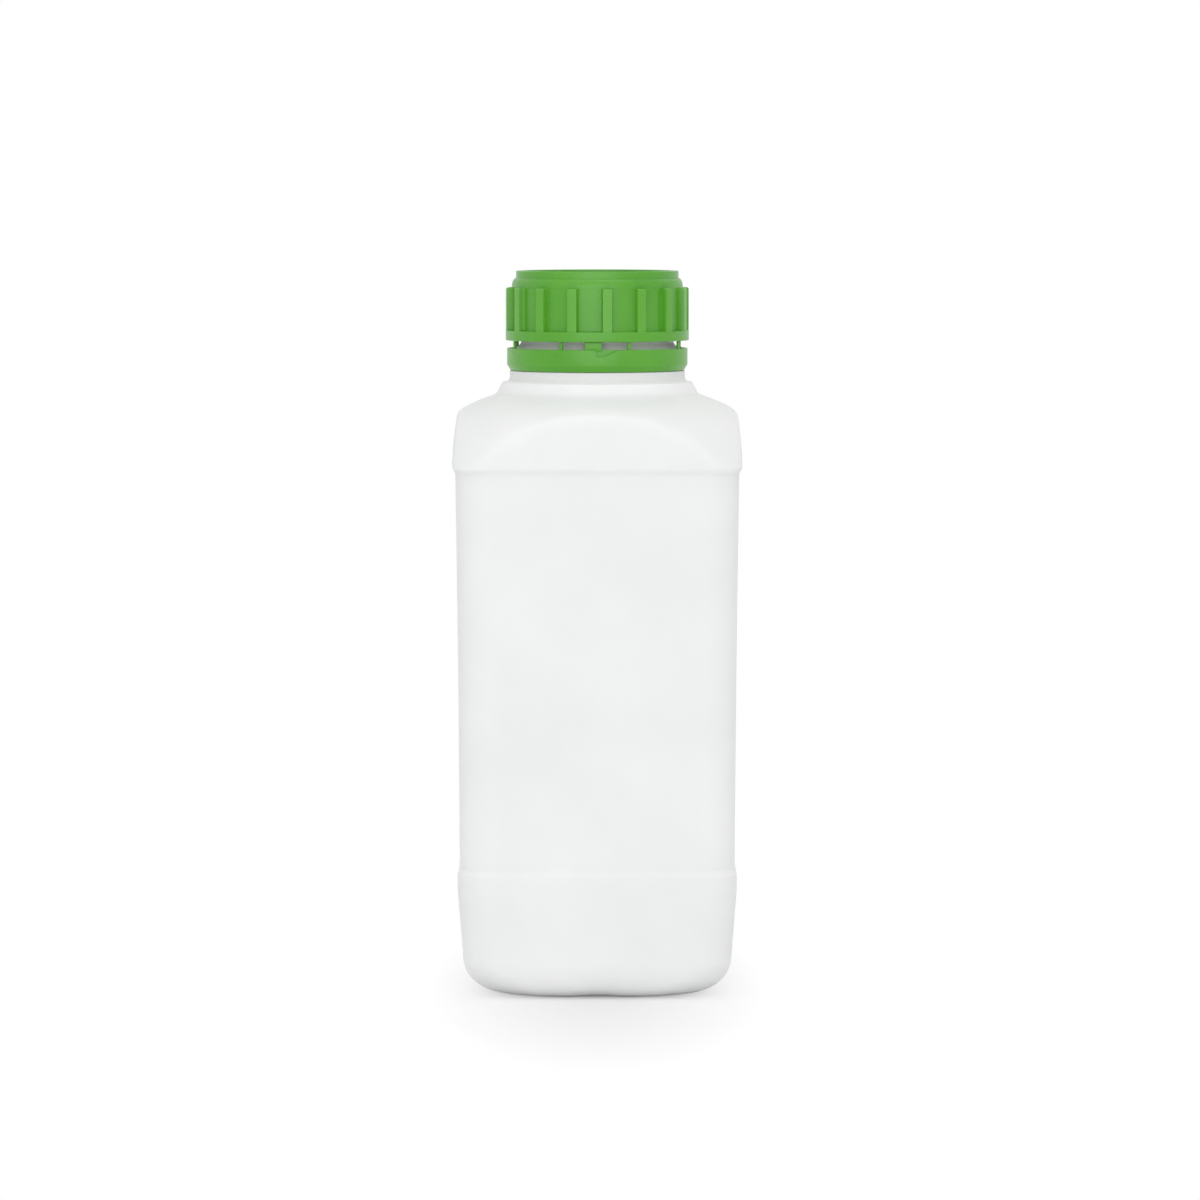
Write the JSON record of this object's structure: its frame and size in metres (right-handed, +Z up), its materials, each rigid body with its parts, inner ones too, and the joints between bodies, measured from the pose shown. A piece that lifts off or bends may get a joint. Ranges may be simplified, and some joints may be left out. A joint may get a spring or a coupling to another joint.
{
  "type": "square media bottle",
  "caption": "Square blow-moulded plastic bottle with a recessed label panel, arched shoulders, a ribbed screw cap, a tamper-evident ring and a sealing disc.",
  "frame": {"origin": "on the floor, under the middle of the base", "axes": "+Z up along the axis of the neck, -Y out of the front face, flats square to X and Y"},
  "size_m": [0.0858, 0.0858, 0.2149],
  "materials": {
    "bottle_plastic": "blow-moulded natural white polyethylene, softly translucent, satin",
    "cap_plastic": "injection-moulded green polypropylene, soft gloss",
    "liner_foam": "pale closed-cell foam sheet, matt"
  },
  "bodies": {
    "container": {"bottle": "bottle_plastic", "tamper_ring": "cap_plastic"},
    "lift": {"cap_liner": "liner_foam"},
    "cap": {"screw_cap": "cap_plastic"}
  },
  "joints": [
    {"name": "cap_lift", "type": "slide", "parent": "container", "child": "lift", "axis": [0, 0, 1], "range_m": [0, 0.0201]},
    {"name": "cap_turn", "type": "hinge", "parent": "lift", "child": "cap", "pos_m": [0, 0, 0.212], "axis": [0, 0, 1], "range_deg": [0, 1440]}
  ],
  "couplings": [
    {"joint": "cap_lift", "follows": "cap_turn", "m_per_rad": 0.00079577}
  ]
}
